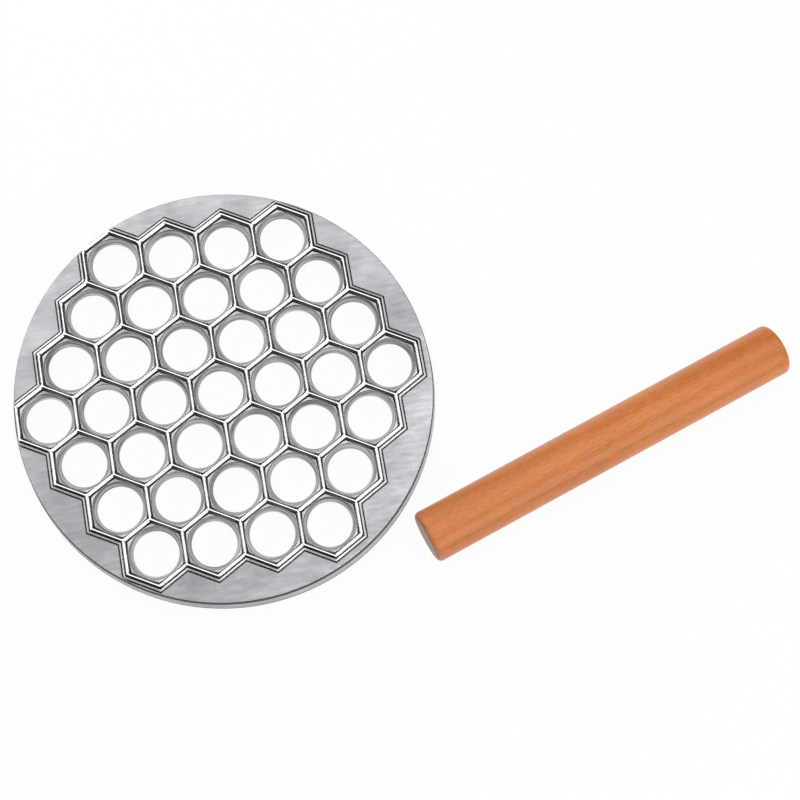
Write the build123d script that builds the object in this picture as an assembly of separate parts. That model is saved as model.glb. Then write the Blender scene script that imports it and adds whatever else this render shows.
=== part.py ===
from build123d import *
import math
import os

# Millimetres. The origin is the middle of the plate on the surface that it stands on, +Z is up,
# and the rows of cells run along X.

# Cells of the mould
CELLS_ACROSS = 7
PITCH = 34.2
CELLS_OFF = -2.6
CELLS_BACK = 1.8
HOLE_D = 26.8
LAND_H = 1.3
CREST_W = 1.6
SHOULDER = 0.5
WALL_DRAFT = 10.0
SEAT_DROP = 3.0
SEAT_OVER = 0.3
CORNER_SLOPE = 20.0
CELL_DEPTH = 9.0
OUTER_RUN = 2.7
BLOCK_DRAFT = 5.0

# Plate and skirt of the mould
RIM_H = 16.5
RIM_T = 3.5
CREST_H = 1.5
RIM_LIP = 3.3
SKIRT_T = 3.0
SKIRT_DRAFT = 7.0
EDGE_ROUND = 0.6
FOOT_ROUND = 0.8
INNER_ROUND = 2.0

# Rolling pin, lying beside the mould
PIN_D = 32.0
PIN_L = 243.0
PIN_ROUND = 3.0
PIN_TURN = 18.7
PIN_START = 63.4
PIN_GAP = 7.7

# Cutters run this far past the faces that they open
PAST = 4.0

CREST_Z = RIM_H + CREST_H
BLOCK_Z = CREST_Z - CELL_DEPTH
RIM_UNDER_Z = RIM_H - RIM_T
SEAT_Z = CREST_Z - SEAT_DROP
LAND_Z = BLOCK_Z + LAND_H
POCKET_R = (PITCH - CREST_W) / 2
RIB_R = (PITCH + CREST_W) / 2
FLAT_TO_CORNER = 1 / math.cos(math.pi / 6)
REACH = CELLS_ACROSS // 2
TOP_R = math.hypot(REACH * PITCH + RIB_R, RIB_R * math.tan(math.pi / 6)) + RIM_LIP
SKIRT_LEAN = math.tan(math.radians(SKIRT_DRAFT))


def cell_places():
    """Where the cells are, row by row."""
    places = []
    for row in range(-REACH, REACH + 1):
        count = CELLS_ACROSS - abs(row)
        y = CELLS_BACK + row * PITCH / FLAT_TO_CORNER
        for step in range(count):
            places.append(Pos(CELLS_OFF + (step - (count - 1) / 2) * PITCH, y, 0))
    return places


def frustum(low_r, high_r, low_z, high_z):
    """A hexagonal solid with a flat side towards +X, whose sides lean evenly."""
    height = high_z - low_z
    lean = math.degrees(math.atan2(low_r - high_r, height))
    base = Pos(0, 0, low_z) * RegularPolygon(low_r, 6, major_radius=False, rotation=30)
    return extrude(base, amount=height, taper=lean)


def side_cone(low_z, high_z, inset):
    """A round solid whose side leans as the outside of the skirt does."""
    low_r = TOP_R - inset + (RIM_H - low_z) * SKIRT_LEAN
    high_r = TOP_R - inset + (RIM_H - high_z) * SKIRT_LEAN
    return Pos(0, 0, (low_z + high_z) / 2) * Cone(low_r, high_r, high_z - low_z)


def pocket():
    """The space of one cell: six steep walls, sloping corners, a round funnel and the hole."""
    low = BLOCK_Z - PAST
    high = CREST_Z + PAST
    shoulder_z = CREST_Z - SHOULDER
    lean = math.tan(math.radians(WALL_DRAFT))
    walls = frustum(POCKET_R - SHOULDER - lean * (shoulder_z - low), POCKET_R - SHOULDER, low, shoulder_z)
    mouth = frustum(POCKET_R - SHOULDER, POCKET_R + PAST, shoulder_z, high)
    seat_r = POCKET_R - SHOULDER - lean * (SEAT_DROP - SHOULDER) + SEAT_OVER
    wide_r = RIB_R * FLAT_TO_CORNER + PAST
    wide_z = SEAT_Z + (wide_r - seat_r) * math.tan(math.radians(CORNER_SLOPE))
    hole_r = HOLE_D / 2
    outline = [(0, low), (hole_r, low), (hole_r, LAND_Z), (seat_r, SEAT_Z)]
    outline += [(wide_r, wide_z), (wide_r, high), (0, high)]
    funnel = revolve(Plane.XZ * make_face(Polyline(*outline, close=True)), Axis.Z)
    return (walls + mouth) & funnel


def rim_and_skirt():
    """The round plate with its skirt, hollow underneath."""
    shell = side_cone(0, RIM_H, 0) - side_cone(-PAST, RIM_UNDER_Z, SKIRT_T)
    rounds = [(RIM_H, EDGE_ROUND), (RIM_UNDER_Z, INNER_ROUND), (0, FOOT_ROUND)]
    for height, radius in rounds:
        circles = shell.edges().filter_by(GeomType.CIRCLE)
        here = [edge for edge in circles if abs(edge.center().Z - height) < radius / 10]
        shell = fillet(here, radius)
    return shell


def mould_plate():
    """The casting: rim, skirt, ribs and the open cells between the ribs."""
    block_r = RIB_R - math.tan(math.radians(BLOCK_DRAFT)) * (RIM_UNDER_Z - BLOCK_Z)
    foot = frustum(block_r, RIB_R, BLOCK_Z, RIM_UNDER_Z)
    neck = frustum(RIB_R, RIB_R, RIM_UNDER_Z, RIM_H)
    ridge = frustum(RIB_R + OUTER_RUN, RIB_R, RIM_H, CREST_Z)
    places = cell_places()
    ridges = Part() + [place * ridge for place in places]
    blocks = Part() + [place * solid for place in places for solid in (foot, neck)]
    body = rim_and_skirt() + blocks + (ridges & side_cone(RIM_H - PAST, CREST_Z + PAST, 0))
    cell = pocket()
    return body - [place * cell for place in places]


def rolling_pin():
    """A plain solid pin that lies on the same surface as the mould, with its near end closest."""
    pin = Cylinder(PIN_D / 2, PIN_L)
    pin = fillet(pin.edges().filter_by(GeomType.CIRCLE), PIN_ROUND)
    foot_r = TOP_R + RIM_H * SKIRT_LEAN
    aside = math.sqrt(foot_r**2 - PIN_START**2) + PIN_GAP + PIN_D / 2
    laid = Pos(PIN_START + PIN_L / 2, -aside, PIN_D / 2) * Rot(0, 90, 0) * pin
    return Rot(0, 0, PIN_TURN) * laid


def save(solid, name):
    solid.label = name
    export_step(solid, os.path.join("parts", name + ".step"))


os.makedirs("parts", exist_ok=True)
save(mould_plate(), "mould_plate")
save(rolling_pin(), "rolling_pin")
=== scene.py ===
"""A dumpling mould cast in aluminium and a varnished rolling pin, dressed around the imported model."""

import math

import bmesh
import bpy
from mathutils import Euler, Matrix, Vector


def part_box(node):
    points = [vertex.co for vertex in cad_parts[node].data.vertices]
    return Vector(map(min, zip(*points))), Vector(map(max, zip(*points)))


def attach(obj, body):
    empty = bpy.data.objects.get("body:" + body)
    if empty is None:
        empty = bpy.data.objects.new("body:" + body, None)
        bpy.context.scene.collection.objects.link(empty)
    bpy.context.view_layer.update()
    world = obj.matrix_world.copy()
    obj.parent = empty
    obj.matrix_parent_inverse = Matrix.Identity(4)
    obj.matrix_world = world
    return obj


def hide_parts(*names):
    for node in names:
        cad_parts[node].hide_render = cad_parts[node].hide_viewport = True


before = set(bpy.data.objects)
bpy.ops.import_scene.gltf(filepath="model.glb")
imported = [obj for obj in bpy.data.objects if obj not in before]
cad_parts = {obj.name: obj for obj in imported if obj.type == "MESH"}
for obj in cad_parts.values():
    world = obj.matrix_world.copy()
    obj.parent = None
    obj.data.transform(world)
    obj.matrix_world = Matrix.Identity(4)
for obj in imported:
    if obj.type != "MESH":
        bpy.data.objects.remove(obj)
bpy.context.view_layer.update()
MOULD_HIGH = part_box("mould_plate")[1]
PIN_LOW, PIN_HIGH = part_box("rolling_pin")
MM = 0.001
# How far the skirt leans out from the rim's top to the foot
SKIRT_RUN = 2.03 * MM

bl_info = {
    "name": "Dumpling mould",
    "version": (1, 0, 0),
    "blender": (4, 5, 0),
    "location": "View3D > Sidebar > Mould",
    "description": "Builds a cast dumpling mould, its rolling pin and a plain stage",
    "category": "Add Mesh",
}


def length(name, description, default):
    """A size in metres that a user can change."""
    return bpy.props.FloatProperty(
        name=name, description=description, default=default, unit="LENGTH", precision=5)


def angle(name, description, degrees):
    """An angle that a user can change."""
    return bpy.props.FloatProperty(
        name=name, description=description, default=math.radians(degrees), unit="ROTATION")


def colour(name, description, default):
    """A linear colour that a user can change."""
    return bpy.props.FloatVectorProperty(
        name=name, description=description, default=default, size=3, min=0, max=1, subtype="COLOR")


def factor(name, description, default):
    """A plain share from none to all."""
    return bpy.props.FloatProperty(
        name=name, description=description, default=default, min=0, max=1, subtype="FACTOR")


def number(name, description, default):
    """A number of cells or of steps in a mesh."""
    return bpy.props.IntProperty(name=name, description=description, default=default, min=3)


def point(name, description, default):
    """A place in metres."""
    return bpy.props.FloatVectorProperty(name=name, description=description, default=default, subtype="XYZ")


class CastingSizes(bpy.types.PropertyGroup):
    """Sizes of the casting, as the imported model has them."""
    cells_across: number("Cells across", "Cells in the longest row", 7)
    side_steps: number("Steps a side", "Edges along each side of a cell", 10)
    funnel_steps: number("Funnel steps", "Edges down a funnel", 5)
    rim_steps: number("Steps round", "Edges round the plate", 288)
    pitch: length("Pitch", "From one cell's middle to the next", 34.2 * MM)
    shift: length("Cells to the left", "How far the cells sit left of the plate's middle", 2.6 * MM)
    back: length("Cells to the back", "How far the cells sit behind the plate's middle", 1.8 * MM)
    top_z: length("Crest height", "Top of the ribs", MOULD_HIGH.z)
    rim_z: length("Rim height", "Top face of the rim", MOULD_HIGH.z - 1.5 * MM)
    rim_under: length("Rim underside", "Lower face of the rim", MOULD_HIGH.z - 5.0 * MM)
    block_z: length("Hole underside", "Lower face of the block of cells", MOULD_HIGH.z - 9.0 * MM)
    crest_half: length("Half crest", "Half the flat crest of a rib", 0.8 * MM)
    wall_low_r: length("Wall foot", "Flat radius at the foot of a cell's wall", 15.60 * MM)
    seat_z: length("Seat height", "Height where the funnel starts", MOULD_HIGH.z - 3.0 * MM)
    corner_rise: length("Corner rise", "How much higher the funnel starts in a corner", 0.8 * MM)
    hole_r: length("Hole radius", "Radius of the hole through a cell", 13.4 * MM)
    land: length("Land", "Straight part of the hole", 1.3 * MM)
    slope: length("Outer slope", "Run of the slope from the outer ribs to the rim", 2.7 * MM)
    plate_r: length("Plate radius", "Radius of the rim's top edge before its round", MOULD_HIGH.x - SKIRT_RUN)
    draft: angle("Skirt draft", "Lean of the side wall", 7)
    block_draft: angle("Block draft", "Lean of the block of cells under the rim", 5)
    skirt: length("Skirt wall", "Thickness of the side wall", 3.0 * MM)
    edge_round: length("Edge round", "Rounding of the rim's top edge", 0.6 * MM)
    foot_round: length("Foot round", "Rounding of the skirt's foot", 0.8 * MM)
    inner_round: length("Inner round", "Fillet under the rim", 2.0 * MM)


class PinSizes(bpy.types.PropertyGroup):
    """Sizes and place of the rolling pin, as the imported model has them."""
    radius: length("Radius", "Half the pin's thickness", PIN_HIGH.z / 2)
    reach: length("Length", "End to end", 243.0 * MM)
    end_round: length("End round", "Rounding at the ends", 3.0 * MM)
    turn: angle("Turn", "Direction of the pin on the table", 18.7)
    end_steps: number("Steps of the round", "Edges along the end round", 8)
    round_steps: number("Steps round", "Edges round the pin", 96)
    long_steps: number("Steps along", "Edges along the pin", 40)


class Finishes(bpy.types.PropertyGroup):
    """Colours and gloss of the surfaces."""
    rim: colour("Rim", "Satin cast aluminium", (0.49, 0.496, 0.52))
    rib: colour("Ribs", "Polished aluminium", (0.78, 0.78, 0.79))
    # The walls' near-black colour is painted shade: it stands for the shade and dark reflections on the steep
    # walls, rib shoulders, outer slope and plate's side.
    wall: colour("Walls", "Dull steep walls of the cells", (0.045, 0.045, 0.045))
    # This light tint is the corners' satin, and is also painted as highlight lines on the plate's edge and
    # the outer slope.
    facet: colour("Corners", "Sloping corners inside the cells", (0.88, 0.88, 0.89))
    # The funnels' tint is turned aluminium darkened as painted shade, standing for the shadowed floor under
    # the casting that they reflect.
    funnel: colour("Funnels", "Turned aluminium", (0.36, 0.36, 0.365))
    rim_rough: factor("Rim roughness", "Gloss of the rim", 0.5)
    rib_rough: factor("Rib roughness", "Gloss of the ribs", 0.16)
    wall_rough: factor("Wall roughness", "Gloss of the walls", 0.40)
    facet_rough: factor("Corner roughness", "Gloss of the corners", 0.58)
    funnel_rough: factor("Funnel roughness", "Gloss of the funnels", 0.36)
    wood: colour("Wood", "Early wood under the varnish", (0.84, 0.266, 0.060))
    wood_dark: colour("Dark wood", "Late wood under the varnish", (0.64, 0.180, 0.036))
    end_wood: colour("End grain", "Cut ends of the pin", (0.42, 0.17, 0.10))


class Studio(bpy.types.PropertyGroup):
    """Camera, lamps and floor."""
    place: point("Camera place", "Where the camera stands", (0.03598, -0.19688, 0.89086))
    aim: point("Camera aim", "The point in the middle of the picture", (0.10247, -0.02022, 0.010))
    roll: angle("Camera roll", "Turn of the camera about its own line of sight", 10.82)
    lens: bpy.props.FloatProperty(name="Lens", description="Focal length", default=67.5, unit="CAMERA")
    floor: colour("Floor", "The pale floor", (0.97, 0.97, 0.97))
    floor_size: length("Floor size", "Half the floor's width", 15.0)
    sky: factor("Sky", "Light from all over the room", 0.04)


def mesh_object(bm, name, materials, body):
    """Turns a bmesh into a smooth piece that rides on a body."""
    mesh = bpy.data.meshes.new(name)
    bm.to_mesh(mesh)
    bm.free()
    for material in materials:
        mesh.materials.append(material)
    mesh.polygons.foreach_set("use_smooth", [True] * len(mesh.polygons))
    piece = bpy.data.objects.new(name, mesh)
    bpy.context.scene.collection.objects.link(piece)
    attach(piece, body)
    return piece


# The finishes of the casting, in the order of its material slots. The third is a near-black tint painted as
# shade and dark reflection; the fourth is the corners' light satin, also painted as highlight lines; the
# fifth is turned aluminium darkened as painted shade.
RIM, RIB, PAINTED_SHADE, FACET_AND_HIGHLIGHT, FUNNEL = range(5)
# Half the section of a rib in millimetres: how far out from its middle, and how far down from its crest
RIB_SECTION = [(0.17, 0), (0.24, 0.010), (0.44, 0.075), (0.56, 0.140), (0.73, 0.25), (0.88, 0.37),
               (1.00, 0.50), (1.09, 0.66), (1.16, 0.90)]
# A rib is polished down to this depth in millimetres; below it the rib is painted near-black, as painted
# shade and dark reflection on its shoulders
SHADE_PAINT_BELOW = 0.52
# The outer ribs keep this many steps of that section before their slope begins
OUTER_STEPS = 5
# From a wall's foot to the funnel's neck: millimetres inwards, roundness from a hexagon's 0 to a circle's 1,
# millimetres above the seat, share of the corner's rise, and the finish
# The near-black rings at the wall's top and at the funnel's neck are painted shade; the ring between them is
# the corners' own satin.
MOUTH_SECTION = [(0.0, 0, 0.25, 0.95, PAINTED_SHADE), (0.05, 0.25, 0.06, 0.9, PAINTED_SHADE),
                 (0.10, 0.94, -0.10, 0.125, FACET_AND_HIGHLIGHT), (0.22, 1, -0.45, 0, PAINTED_SHADE)]
# How far a funnel's side bulges inwards halfway down
BULGE = 0.18 * MM
# The small flats at the lower edge of a hole and at the lower edge of the block of cells
HOLE_ROUND = 0.3 * MM
BLOCK_ROUND = 0.2 * MM
# The slope outside the outer ribs: shares of its run and of its fall, and the finish
# Its near-black bands are painted shade and dark reflection, and its one light band is a painted highlight.
OUTER_SECTION = [(0.10, 0.20, PAINTED_SHADE), (0.22, 0.34, PAINTED_SHADE), (0.34, 0.42, PAINTED_SHADE), (0.72, 0.74, FACET_AND_HIGHLIGHT),
                 (0.82, 0.86, PAINTED_SHADE), (1.0, 0.97, PAINTED_SHADE), (1.06, 1.0, PAINTED_SHADE)]
# Finishes round the plate's edge, from its top down: a light ring is a painted highlight on the edge, and the
# near-black rings below it are painted shade
EDGE_FINISHES = (RIM, FACET_AND_HIGHLIGHT, PAINTED_SHADE, PAINTED_SHADE, PAINTED_SHADE, PAINTED_SHADE)
# The shallow groove under the plate's edge, in millimetres: how deep, how far down, and the finish. Its
# near-black finish is a painted shadow under the edge.
EDGE_GROOVE = [(0.0, 0.1, PAINTED_SHADE), (0.3, 0.5, PAINTED_SHADE), (0.3, 3.2, PAINTED_SHADE), (0.0, 3.8, PAINTED_SHADE)]
# The foot of the outer slope stays this far inside the round of the plate's edge
RIM_GAP = 0.03 * MM
# Points of neighbouring cells closer than this are joined
NEAR = 0.01 * MM
# Points at a seam or pole closer than this are joined
TOUCHING = 0.002 * MM


def hexagon_stretch(turn):
    """How much further out than its flat side a hexagon reaches in this direction."""
    return 1 / math.cos((turn + math.pi / 6) % (math.pi / 3) - math.pi / 6)


def cell_rings(sizes):
    """Rings of a cell from its crest down to the underside.

    Each has the flat radius, roundness, height, extra height in the corners, and finish.
    """
    top, seat, low = sizes.top_z, sizes.seat_z, sizes.block_z
    rings = [(sizes.pitch / 2, 0, top, 0, RIB)]
    for out, drop in RIB_SECTION:
        # Below the polished depth the rib's shoulder gets the near-black painted shade.
        rings.append((sizes.pitch / 2 - out * MM, 0, top - drop * MM, 0, RIB if drop < SHADE_PAINT_BELOW else PAINTED_SHADE))
    for inset, roundness, above, share, finish in MOUTH_SECTION:
        rise = sizes.corner_rise * share
        rings.append((sizes.wall_low_r - inset * MM, roundness, seat + above * MM, rise, finish))
    neck_r, neck_z = rings[-1][0], rings[-1][2]
    fall = low + sizes.land - neck_z
    for step in range(1, sizes.funnel_steps + 1):
        share = step / sizes.funnel_steps
        flat_r = neck_r + (sizes.hole_r - neck_r) * share - BULGE * math.sin(math.pi * share)
        rings.append((flat_r, 1, neck_z + fall * share, 0, FUNNEL))
    rings.append((sizes.hole_r, 1, low + HOLE_ROUND, 0, FUNNEL))
    rings.append((sizes.hole_r + HOLE_ROUND, 1, low, 0, FUNNEL))
    rings.append((sizes.pitch / 2, 0, low, 0, RIM))
    return rings


def place_ring(verts, ring):
    """Moves a ring of vertices onto its hexagon, circle or shape between the two."""
    flat_r, roundness, height, rise, _ = ring
    corner = hexagon_stretch(math.pi / 6) - 1
    for vert in verts:
        turn = math.atan2(vert.co.y, vert.co.x)
        stretch = hexagon_stretch(turn)
        reach = flat_r * (stretch + (1 - stretch) * roundness)
        level = height + rise * (stretch - 1) / corner
        vert.co = Vector((reach * math.cos(turn), reach * math.sin(turn), level))


def cell_mesh(sizes):
    """One cell, from the middle of its crest to the middle of the web underneath."""
    bm = bmesh.new()
    rings = cell_rings(sizes)
    verts = bmesh.ops.create_circle(bm, segments=6 * sizes.side_steps, radius=sizes.pitch / 2)["verts"]
    place_ring(verts, rings[0])
    edges = bm.edges[:]
    for ring in rings[1:]:
        made = bmesh.ops.extrude_edge_only(bm, edges=edges)["geom"]
        place_ring([item for item in made if isinstance(item, bmesh.types.BMVert)], ring)
        edges = [item for item in made if isinstance(item, bmesh.types.BMEdge)]
        for face in [item for item in made if isinstance(item, bmesh.types.BMFace)]:
            face.material_index = ring[4]
    mesh = bpy.data.meshes.new("cell")
    bm.to_mesh(mesh)
    bm.free()
    return mesh


def open_loop(bm, height):
    """The open edges at one height, as edges and as their vertices in order."""
    edges = [edge for edge in bm.edges if edge.is_boundary and abs(edge.verts[0].co.z - height) < NEAR]
    waiting = set(edges)
    vert = edges[0].verts[0]
    order = []
    while waiting:
        order.append(vert)
        edge = next(item for item in vert.link_edges if item in waiting)
        waiting.remove(edge)
        vert = edge.other_vert(vert)
    return edges, order


def outline_offsets(points):
    """How each point of a closed outline moves outwards per unit of distance.

    A corner moves along its bisector, and the points of a side share out the moves of its two ends.
    """
    count = len(points)
    directions = [(points[(k + 1) % count] - points[k]).normalized() for k in range(count)]
    corners = [k for k in range(count) if directions[k].dot(directions[k - 1]) < 0.99]
    moves = [None] * count
    for k in corners:
        before, after = directions[k - 1], directions[k]
        normal_before = Vector((before.y, -before.x))
        normal_after = Vector((after.y, -after.x))
        moves[k] = (normal_before + normal_after) / (1 + normal_before.dot(normal_after))
    for place, k in enumerate(corners):
        end = corners[(place + 1) % len(corners)]
        span = (end - k) % count
        whole = (points[end] - points[k]).length
        for step in range(1, span):
            here = (k + step) % count
            share = (points[here] - points[k]).length / whole
            moves[here] = moves[k].lerp(moves[end], share)
    area = sum(points[k - 1].x * points[k].y - points[k].x * points[k - 1].y for k in range(count))
    return moves if area > 0 else [-move for move in moves]


def skirt_radius(sizes, height):
    """Outer radius of the plate's side wall at a height."""
    return sizes.plate_r + (sizes.rim_z - height) * math.tan(sizes.draft)


def spot_key(spot):
    """A rounded place, by which an extruded point is matched to the one that it comes from."""
    return tuple(round(value, 8) for value in spot)


def border(bm, height, steps, limit):
    """Carries the cells' open outline outwards through the given distances, heights and finishes."""
    edges, order = open_loop(bm, height)
    base = [vert.co.xy.copy() for vert in order]
    moves = outline_offsets(base)
    indices = {vert: k for k, vert in enumerate(order)}
    for distance, level, finish in steps:
        spots = {spot_key(vert.co): k for vert, k in indices.items()}
        made = bmesh.ops.extrude_edge_only(bm, edges=edges)["geom"]
        indices = {}
        for item in made:
            if isinstance(item, bmesh.types.BMVert):
                indices[item] = spots[spot_key(item.co)]
            elif isinstance(item, bmesh.types.BMFace):
                item.material_index = finish
        for vert, k in indices.items():
            spot = base[k] + moves[k] * distance
            if spot.length > limit:
                spot = spot.normalized() * limit
            vert.co = Vector((spot.x, spot.y, level))
        edges = [item for item in made if isinstance(item, bmesh.types.BMEdge)]
    return edges


def skirt_profile(sizes):
    """Radius, height and finish of each ring of the rim's edge, side wall, foot and inner side."""
    rings = []
    flat_r = sizes.plate_r - sizes.edge_round
    lean = sizes.draft
    for step, finish in enumerate(EDGE_FINISHES, 1):
        bend = (math.pi / 2 - lean) * step / len(EDGE_FINISHES)
        rings.append((flat_r + sizes.edge_round * math.sin(bend),
                      sizes.rim_z - sizes.edge_round * (1 - math.cos(bend)), finish))
    for depth, below, finish in EDGE_GROOVE:
        level = sizes.rim_z - sizes.edge_round - below * MM
        rings.append((skirt_radius(sizes, level) - depth * MM, level, finish))
    foot = sizes.foot_round
    rings.append((skirt_radius(sizes, foot * 3), foot * 3, RIM))
    # The near-black ring and round at the foot are a painted shadow line; the strip above them keeps the
    # rim's satin.
    rings.append((skirt_radius(sizes, foot), foot, PAINTED_SHADE))
    for step in range(1, 5):
        bend = math.pi / 2 * step / 4
        radius = skirt_radius(sizes, 0) - foot * (1 - math.cos(bend))
        rings.append((radius, foot * (1 - math.sin(bend)), PAINTED_SHADE))
    inner_r = skirt_radius(sizes, 0) - sizes.skirt
    for step in range(5):
        bend = math.pi / 2 * step / 4
        rings.append((inner_r + foot * (1 - math.sin(bend)), foot * (1 - math.cos(bend)), RIM))
    fillet = sizes.inner_round
    for step in range(7):
        bend = math.pi / 2 * step / 6
        level = sizes.rim_under - fillet * (1 - math.sin(bend))
        rings.append((skirt_radius(sizes, level) - sizes.skirt - fillet * (1 - math.cos(bend)), level, RIM))
    return rings


def add_skirt(bm, sizes):
    """The round edge, side wall and inner side. Returns the open edges above and below."""
    flat_r = sizes.plate_r - sizes.edge_round
    first = bmesh.ops.create_circle(
        bm, segments=sizes.rim_steps, radius=flat_r, matrix=Matrix.Translation((0, 0, sizes.rim_z)))["verts"]
    ring = set(first)
    top = [edge for edge in bm.edges if edge.verts[0] in ring]
    edges = top
    for radius, height, finish in skirt_profile(sizes):
        made = bmesh.ops.extrude_edge_only(bm, edges=edges)["geom"]
        for face in [item for item in made if isinstance(item, bmesh.types.BMFace)]:
            face.material_index = finish
        for vert in [item for item in made if isinstance(item, bmesh.types.BMVert)]:
            flat = vert.co.xy.normalized() * radius
            vert.co = Vector((flat.x, flat.y, height))
        edges = [item for item in made if isinstance(item, bmesh.types.BMEdge)]
    return top, edges


def casting_mesh(sizes):
    """The whole casting as one closed mesh."""
    bm = bmesh.new()
    cell = cell_mesh(sizes)
    reach = sizes.cells_across // 2
    for row in range(-reach, reach + 1):
        count = sizes.cells_across - abs(row)
        for place in range(count):
            x = (place - (count - 1) / 2) * sizes.pitch - sizes.shift
            y = row * sizes.pitch * math.cos(math.pi / 6) + sizes.back
            middle = Matrix.Translation((x, y, 0))
            cell.transform(middle)
            bm.from_mesh(cell)
            cell.transform(middle.inverted())
    bpy.data.meshes.remove(cell)
    bmesh.ops.remove_doubles(bm, verts=bm.verts, dist=NEAR)
    crest = sizes.crest_half
    fall = sizes.top_z - sizes.rim_z
    upper = [(out * MM, sizes.top_z - drop * MM, RIB) for out, drop in RIB_SECTION[:OUTER_STEPS]]
    for out, drop, finish in OUTER_SECTION:
        upper.append((crest + sizes.slope * out, sizes.top_z - fall * drop, finish))
    flat_limit = sizes.plate_r - sizes.edge_round - RIM_GAP
    foot_edges = border(bm, sizes.top_z, upper, flat_limit)
    lean = math.tan(sizes.block_draft) * (sizes.rim_under - sizes.block_z)
    lower = [(crest - lean - BLOCK_ROUND, sizes.block_z, RIM),
             (crest - lean, sizes.block_z + BLOCK_ROUND, RIM),
             (crest, sizes.rim_under, RIM)]
    block_edges = border(bm, sizes.block_z, lower, flat_limit)
    top_edges, under_edges = add_skirt(bm, sizes)
    for inside, outside in ((foot_edges, top_edges), (block_edges, under_edges)):
        bmesh.ops.triangle_fill(bm, edges=inside + outside, use_beauty=True)
    bmesh.ops.remove_doubles(bm, verts=bm.verts, dist=TOUCHING)
    bmesh.ops.recalc_face_normals(bm, faces=bm.faces)
    return bm


class NodeBoard:
    """A small helper that places shader nodes and joins them."""

    def __init__(self, tree):
        self.tree = tree

    def add(self, kind, settings=None, **inputs):
        """Adds a node, sets its options, and sets or joins its inputs by name."""
        node = self.tree.nodes.new(kind)
        for key, value in (settings or {}).items():
            setattr(node, key, value)
        for key, value in inputs.items():
            self.feed(node, key, value)
        return node

    def feed(self, node, key, value):
        """Sets an input or joins it to another node's output. A key such as _2 is the input's number."""
        slot = node.inputs[int(key[1:])] if key[0] == "_" else node.inputs[key.replace("_", " ")]
        if isinstance(value, bpy.types.NodeSocket):
            self.tree.links.new(value, slot)
        else:
            slot.default_value = value

    def maths(self, operation, first, second=0.0, clamp=False):
        """The result of a Math node."""
        settings = {"operation": operation, "use_clamp": clamp}
        return self.add("ShaderNodeMath", settings, _0=first, _1=second).outputs[0]

    def mix(self, share, first, second):
        """The result of a colour mix."""
        node = self.add("ShaderNodeMix", {"data_type": "RGBA"}, _0=share, _6=first, _7=second)
        return node.outputs[2]

    def ramp(self, value, low, high, out_low=0.0, out_high=1.0):
        """A value carried from one range to another and kept within it."""
        node = self.add("ShaderNodeMapRange", {}, _0=value, _1=low, _2=high, _3=out_low, _4=out_high)
        return node.outputs[0]

    def scaled(self, tone, share):
        """A colour made lighter or darker."""
        return self.add("ShaderNodeVectorMath", {"operation": "SCALE"}, _0=tone, Scale=share).outputs[0]

    def drawn(self, place, scale, turn=0.0):
        """A place turned about Z and stretched, for a drawn-out pattern."""
        node = self.add("ShaderNodeMapping", {}, Vector=place, Rotation=(0, 0, turn), Scale=scale)
        return node.outputs[0]

    def noise(self, place, scale, detail, roughness=0.5):
        """A soft random pattern."""
        node = self.add(
            "ShaderNodeTexNoise", {}, Vector=place, Scale=scale, Detail=detail, Roughness=roughness)
        return node.outputs["Fac"]


def new_group(name, inputs, outputs):
    """An empty node group with named sockets, and its board."""
    group = bpy.data.node_groups.new(name, "ShaderNodeTree")
    for label, kind, default in inputs:
        socket = group.interface.new_socket(name=label, in_out="INPUT", socket_type=kind)
        if default is not None:
            socket.default_value = default
    for label, kind in outputs:
        group.interface.new_socket(name=label, in_out="OUTPUT", socket_type=kind)
    board = NodeBoard(group)
    return group, board, board.add("NodeGroupInput"), board.add("NodeGroupOutput")


# Noise on the metal: scale, detail and roughness
CLOUDS = (38.0, 4.0, 0.6)
PATCHES = (11.0, 2.0, 0.5)
SPECKS = (950.0, 3.0, 0.7)
# Strokes left by brushing: how they are stretched and turned, and their noise
STROKE_SCALE, STROKE_TURN, STROKE_NOISE = (85.0, 420.0, 200.0), math.radians(-32), (1.0, 3.0, 0.65)
# Rings left by turning: how they are stretched, and their noise
LATHE_SCALE, LATHE_NOISE = (38.0, 38.0, 620.0), (1.0, 3.0, 0.6)
# The mean of the three noises that make up the clouds
CLOUD_MEAN = 1.5
# The depth of the metal's relief
METAL_RELIEF = 0.05 * MM


def cloudy_metal_group():
    """Faint clouds and fine grain of a cast or polished metal face."""
    group, board, source, sink = new_group(
        "cloudy_metal",
        [("Vector", "NodeSocketVector", None), ("Colour", "NodeSocketColor", (0.6, 0.6, 0.6, 1)),
         ("Roughness", "NodeSocketFloat", 0.4), ("Cloud", "NodeSocketFloat", 0.1),
         ("Grain", "NodeSocketFloat", 0.05)],
        [("Colour", "NodeSocketColor"), ("Roughness", "NodeSocketFloat"), ("Height", "NodeSocketFloat")])
    place = source.outputs["Vector"]
    clouds = board.noise(place, *CLOUDS)
    patches = board.noise(place, *PATCHES)
    grain = board.noise(place, *SPECKS)
    strokes = board.noise(board.drawn(place, STROKE_SCALE, STROKE_TURN), *STROKE_NOISE)
    together = board.maths("ADD", board.maths("ADD", clouds, patches), strokes)
    swing = board.maths("MULTIPLY", board.maths("SUBTRACT", together, CLOUD_MEAN), source.outputs["Cloud"])
    speck = board.maths("MULTIPLY", board.maths("SUBTRACT", grain, 0.5), source.outputs["Grain"])
    level = board.maths("ADD", board.maths("ADD", swing, speck), 1.0)
    board.feed(sink, "Colour", board.scaled(source.outputs["Colour"], level))
    rough = board.maths("ADD", source.outputs["Roughness"], board.maths("MULTIPLY", swing, -0.6))
    board.feed(sink, "Roughness", board.maths("ADD", rough, speck, clamp=True))
    board.feed(sink, "Height", board.maths("ADD", grain, board.maths("MULTIPLY", clouds, 3.0)))
    return group


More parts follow.
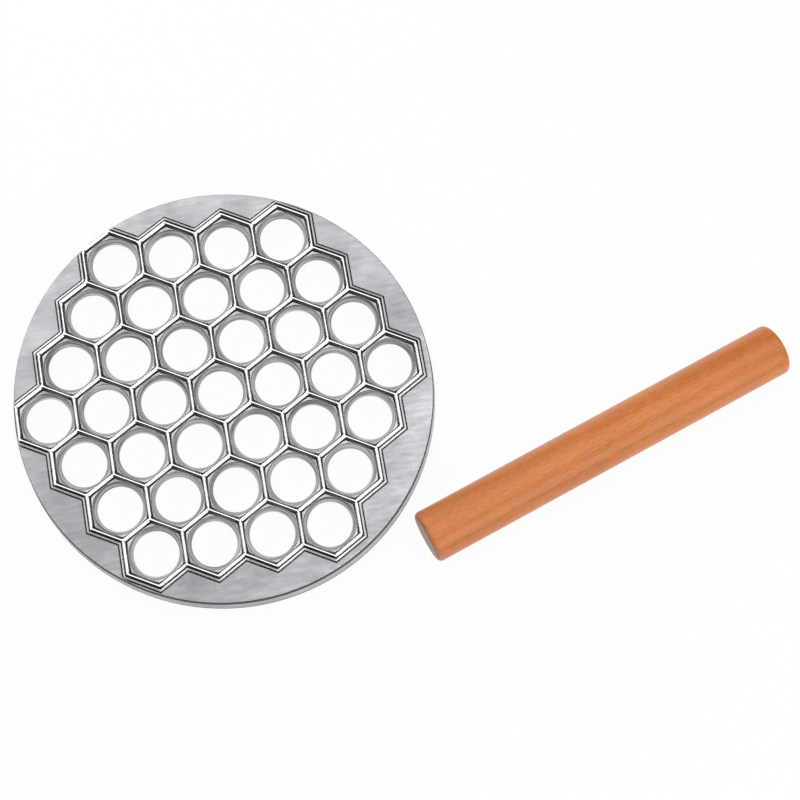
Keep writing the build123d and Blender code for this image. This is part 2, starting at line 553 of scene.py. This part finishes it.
def metal_material(name, tint, roughness, cloud, grain, bump, lathe=0.0):
    """Bare aluminium with its own tint and gloss. Lathe is how strongly a turning tool's rings show."""
    material = bpy.data.materials.new(name)
    material.use_nodes = True
    board = NodeBoard(material.node_tree)
    shader = board.tree.nodes["Principled BSDF"]
    place = board.add("ShaderNodeTexCoord").outputs["Object"]
    cloudy = board.add("ShaderNodeGroup", {"node_tree": bpy.data.node_groups["cloudy_metal"]},
                       Vector=place, Colour=(*tint, 1), Roughness=roughness, Cloud=cloud, Grain=grain)
    tone = cloudy.outputs["Colour"]
    height = cloudy.outputs["Height"]
    if lathe:
        turned = board.noise(board.drawn(place, LATHE_SCALE), *LATHE_NOISE)
        tone = board.scaled(tone, board.ramp(turned, 0.3, 0.7, 1 - lathe, 1 + lathe))
        height = board.maths("ADD", height, turned)
    relief = board.add("ShaderNodeBump", {}, Height=height, Strength=bump, Distance=METAL_RELIEF)
    shader.inputs["Metallic"].default_value = 1.0
    board.feed(shader, "Base Color", tone)
    board.feed(shader, "Roughness", cloudy.outputs["Roughness"])
    board.feed(shader, "Normal", relief.outputs["Normal"])
    return material


class MOULD_OT_casting(bpy.types.Operator):
    """Build the cast plate with its ribs, cells, rim and skirt"""
    bl_idname = "mould.casting"
    bl_label = "Casting"

    def execute(self, context):
        sizes, looks = context.scene.casting_sizes, context.scene.mould_finishes
        cloudy_metal_group()
        materials = [
            metal_material("satin_rim", looks.rim, looks.rim_rough, cloud=0.42, grain=0.30, bump=0.30),
            metal_material("polished_ribs", looks.rib, looks.rib_rough, cloud=0.06, grain=0.03, bump=0.01),
            # Near-black painted shade and dark reflection for the walls, rib shoulders, outer slope and
            # plate's side.
            metal_material("shade_painted_walls", looks.wall, looks.wall_rough, cloud=0.10, grain=0.05, bump=0.10),
            # The corners' light satin, also painted as highlight lines.
            metal_material("satin_corners_and_painted_highlights", looks.facet, looks.facet_rough,
                           cloud=0.15, grain=0.05, bump=0.10),
            # Turned aluminium, darkened as painted shade of the floor beneath.
            metal_material("turned_funnels_with_painted_shade", looks.funnel, looks.funnel_rough,
                           cloud=0.10, grain=0.05, bump=0.20, lathe=0.78),
        ]
        piece = mesh_object(casting_mesh(sizes), "casting", materials, "mould")
        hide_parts("mould_plate")
        return {"FINISHED"}


def pin_mesh(sizes, middle):
    """A straight round stick with rounded ends, turned about its own axis and laid in place."""
    bm = bmesh.new()
    half, radius, bend_r = sizes.reach / 2, sizes.radius, sizes.end_round
    outline = [(-half, 0.0), (-half, radius * 0.45), (-half, radius - bend_r)]
    for step in range(1, sizes.end_steps + 1):
        bend = math.pi / 2 * step / sizes.end_steps
        outline.append((-half + bend_r * (1 - math.cos(bend)), radius - bend_r * (1 - math.sin(bend))))
    start, run = bend_r - half, sizes.reach - 2 * bend_r
    side = [(start + run * step / sizes.long_steps, radius) for step in range(1, sizes.long_steps)]
    outline += side + [(-x, r) for x, r in reversed(outline)]
    verts = [bmesh.ops.create_vert(bm, co=(x, r, 0))["vert"][0] for x, r in outline]
    edges = [bm.edges.new(pair) for pair in zip(verts, verts[1:])]
    bmesh.ops.spin(bm, geom=verts + edges, cent=(0, 0, 0), axis=(1, 0, 0), angle=math.tau,
                   steps=sizes.round_steps, use_merge=True, use_duplicate=False)
    bmesh.ops.remove_doubles(bm, verts=bm.verts, dist=TOUCHING)
    bmesh.ops.recalc_face_normals(bm, faces=bm.faces)
    place = Matrix.Translation(middle) @ Matrix.Rotation(sizes.turn, 4, "Z")
    bmesh.ops.transform(bm, matrix=place, verts=bm.verts)
    return bm


# How the wood's streaks, pores and swirls are stretched along the pin
STREAK_SCALE, PORE_SCALE, SWIRL_SCALE = (95.0, 640.0, 640.0), (270.0, 1300.0, 1300.0), (12.0, 55.0, 55.0)
STREAK_NOISE, PORE_NOISE, SWIRL_NOISE = (1.0, 5.0, 0.6), (1.0, 2.0), (1.0, 2.0)
# The tree's middle lies beside the pin, and its rings run long. They are this close, and the swirls sway them
PITH, RING_SCALE = (0.0, 0.021, -0.012), (0.04, 1.0, 1.0)
RING_RATE, RING_SWAY = 2600.0, 5.0
# Distances from the end over which the side's colour gives way to the end's
END_FROM, END_TO = 1.2 * MM, 0.2 * MM
# The depth of the wood's relief
WOOD_RELIEF = 0.1 * MM


def wood_material(sizes, looks, middle):
    """Varnished straight-grained wood whose grain runs along the pin, with rings on its ends."""
    material = bpy.data.materials.new("varnished_wood")
    material.use_nodes = True
    board = NodeBoard(material.node_tree)
    shader = board.tree.nodes["Principled BSDF"]
    place = board.add("ShaderNodeTexCoord").outputs["Object"]
    laid = board.add("ShaderNodeMapping", {"vector_type": "TEXTURE"}, Vector=place, Location=middle,
                     Rotation=(0, 0, sizes.turn)).outputs[0]
    streaks = board.noise(board.drawn(laid, STREAK_SCALE), *STREAK_NOISE)
    pores = board.noise(board.drawn(laid, PORE_SCALE), *PORE_NOISE)
    swirl = board.noise(board.drawn(laid, SWIRL_SCALE), *SWIRL_NOISE)
    pith = board.add("ShaderNodeMapping", {}, Vector=laid, Location=PITH, Scale=RING_SCALE)
    far = board.add("ShaderNodeVectorMath", {"operation": "LENGTH"}, _0=pith.outputs[0]).outputs["Value"]
    sway = board.maths("MULTIPLY", swirl, RING_SWAY)
    waves = board.maths("ADD", board.maths("MULTIPLY", far, RING_RATE), sway)
    rings = board.ramp(board.maths("SINE", waves), -1.0, 1.0)
    plain = board.maths("ADD", board.maths("MULTIPLY", streaks, 0.5), board.maths("MULTIPLY", swirl, 0.45))
    light = board.ramp(board.maths("ADD", plain, board.maths("MULTIPLY", rings, 0.05)), 0.32, 0.66)
    tone = board.mix(light, (*looks.wood_dark, 1), (*looks.wood, 1))
    grainy = board.scaled(tone, board.ramp(pores, 0.34, 0.50, 0.82, 1.0))
    along = board.add("ShaderNodeSeparateXYZ", {}, Vector=laid).outputs["X"]
    half = sizes.reach / 2
    end = board.ramp(board.maths("ABSOLUTE", along), half - END_FROM, half - END_TO)
    end_tone = board.scaled(tuple(looks.end_wood), board.ramp(rings, 0.0, 1.0, 0.86, 1.08))
    board.feed(shader, "Base Color", board.mix(end, grainy, end_tone))
    gloss = board.ramp(streaks, 0.3, 0.7, 0.36, 0.46)
    board.feed(shader, "Roughness", board.maths("ADD", gloss, board.maths("MULTIPLY", end, 0.18)))
    relief = board.add("ShaderNodeBump", {}, Height=board.maths("ADD", streaks, pores), Strength=0.12,
                       Distance=WOOD_RELIEF)
    board.feed(shader, "Normal", relief.outputs["Normal"])
    shader.inputs["Coat Weight"].default_value = 0.24
    shader.inputs["Coat Roughness"].default_value = 0.22
    return material


class MOULD_OT_rolling_pin(bpy.types.Operator):
    """Build the wooden rolling pin"""
    bl_idname = "mould.rolling_pin"
    bl_label = "Rolling pin"

    def execute(self, context):
        sizes, looks = context.scene.pin_sizes, context.scene.mould_finishes
        middle = (PIN_LOW + PIN_HIGH) / 2
        wood = wood_material(sizes, looks, middle)
        piece = mesh_object(pin_mesh(sizes, middle), "turned_pin", [wood], "pin")
        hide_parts("rolling_pin")
        return {"FINISHED"}


# How much of the floor's look is plain white. The rest shows the shadows
FLOOR_GLOW = 0.94
# Lamps: name, azimuth, elevation, distance, width, height, and how bright the lamp's face looks
LAMPS = [
    ("softbox_front", -60, 32, 1.6, 1.3, 0.9, 2.5),
    ("softbox_back", 122, 32, 1.6, 1.3, 0.9, 2.5),
    ("softbox_right", 0, 36, 1.6, 0.8, 0.5, 2.2),
    ("softbox_left", 180, 36, 1.6, 0.8, 0.5, 2.0),
    ("softbox_above", 68, 79, 1.6, 1.6, 1.6, 1.7),
]


def floor_material(tint):
    """A pale floor that the camera and the metal see as white, with faint shadows, and clear from below."""
    material = bpy.data.materials.new("pale_floor")
    material.use_nodes = True
    board = NodeBoard(material.node_tree)
    board.tree.nodes.remove(board.tree.nodes["Principled BSDF"])
    plain = board.add("ShaderNodeBsdfDiffuse", {}, Color=(*tint, 1)).outputs[0]
    white = board.add("ShaderNodeEmission", {}, Color=(1, 1, 1, 1), Strength=1.0).outputs[0]
    paths = board.add("ShaderNodeLightPath").outputs
    indirect = board.maths("MAXIMUM", paths["Is Glossy Ray"], paths["Is Transmission Ray"])
    seen = board.maths("MAXIMUM", paths["Is Camera Ray"], indirect)
    share = board.maths("MULTIPLY", seen, FLOOR_GLOW)
    upper = board.add("ShaderNodeMixShader", {}, _0=share, _1=plain, _2=white)
    below = board.add("ShaderNodeNewGeometry").outputs["Backfacing"]
    clear = board.add("ShaderNodeBsdfTransparent").outputs[0]
    mixed = board.add("ShaderNodeMixShader", {}, _0=below, _1=upper.outputs[0], _2=clear)
    board.feed(board.tree.nodes["Material Output"], "Surface", mixed.outputs[0])
    return material


def add_floor(studio):
    """The plain floor that everything stands on."""
    bm = bmesh.new()
    bmesh.ops.create_grid(bm, x_segments=8, y_segments=8, size=studio.floor_size)
    mesh = bpy.data.meshes.new("floor")
    bm.to_mesh(mesh)
    bm.free()
    mesh.materials.append(floor_material(studio.floor))
    floor = bpy.data.objects.new("floor", mesh)
    bpy.context.scene.collection.objects.link(floor)


def add_softbox(name, azimuth, elevation, distance, width, height, brightness):
    """An area lamp that faces the middle of the stage. Its face looks as bright as stated."""
    lamp = bpy.data.lights.new(name, "AREA")
    lamp.shape = "RECTANGLE"
    lamp.size, lamp.size_y = width, height
    lamp.energy = brightness * math.pi * width * height
    box = bpy.data.objects.new(name, lamp)
    turn, rise = math.radians(azimuth), math.radians(elevation)
    aside = math.cos(rise)
    box.location = Vector((math.cos(turn) * aside, math.sin(turn) * aside, math.sin(rise))) * distance
    box.rotation_euler = (-box.location).to_track_quat("-Z", "Y").to_euler()
    bpy.context.scene.collection.objects.link(box)


def add_world(strength):
    """A dim even room for the surfaces, white where the camera looks past the floor."""
    world = bpy.data.worlds.new("room")
    world.use_nodes = True
    bpy.context.scene.world = world
    board = NodeBoard(world.node_tree)
    back = board.tree.nodes["Background"]
    seen = board.add("ShaderNodeLightPath").outputs["Is Camera Ray"]
    board.feed(back, "Strength", board.ramp(seen, 0.0, 1.0, strength, 1.0))
    back.inputs["Color"].default_value = (1, 1, 1, 1)


def add_camera(studio):
    """The camera, at the viewing angle of the reference."""
    data = bpy.data.cameras.new("camera")
    data.lens = studio.lens
    camera = bpy.data.objects.new("camera", data)
    place, aim = Vector(studio.place), Vector(studio.aim)
    facing = (aim - place).to_track_quat("-Z", "Y") @ Euler((0, 0, studio.roll)).to_quaternion()
    camera.location = place
    camera.rotation_euler = facing.to_euler()
    bpy.context.scene.collection.objects.link(camera)
    bpy.context.scene.camera = camera


class MOULD_OT_stage(bpy.types.Operator):
    """Build the floor, the lamps, the room and the camera"""
    bl_idname = "mould.stage"
    bl_label = "Stage"

    def execute(self, context):
        studio = context.scene.mould_studio
        add_floor(studio)
        add_world(studio.sky)
        for lamp in LAMPS:
            add_softbox(*lamp)
        add_camera(studio)
        context.scene.view_settings.view_transform = "Standard"
        return {"FINISHED"}


class MOULD_PT_panel(bpy.types.Panel):
    """Lists the pieces that can be built"""
    bl_label = "Dumpling mould"
    bl_space_type = "VIEW_3D"
    bl_region_type = "UI"
    bl_category = "Mould"

    def draw(self, context):
        for operator in OPERATORS:
            self.layout.operator(operator.bl_idname)


SETTINGS = {
    "casting_sizes": CastingSizes,
    "pin_sizes": PinSizes,
    "mould_finishes": Finishes,
    "mould_studio": Studio,
}
OPERATORS = (MOULD_OT_casting, MOULD_OT_rolling_pin, MOULD_OT_stage)
CLASSES = (*SETTINGS.values(), *OPERATORS, MOULD_PT_panel)


def register():
    for item in CLASSES:
        bpy.utils.register_class(item)
    for name, group in SETTINGS.items():
        setattr(bpy.types.Scene, name, bpy.props.PointerProperty(type=group))


def unregister():
    for name in SETTINGS:
        delattr(bpy.types.Scene, name)
    for item in reversed(CLASSES):
        bpy.utils.unregister_class(item)


def main():
    register()
    bpy.ops.mould.casting()
    bpy.ops.mould.rolling_pin()
    bpy.ops.mould.stage()


if __name__ == "__main__":
    main()
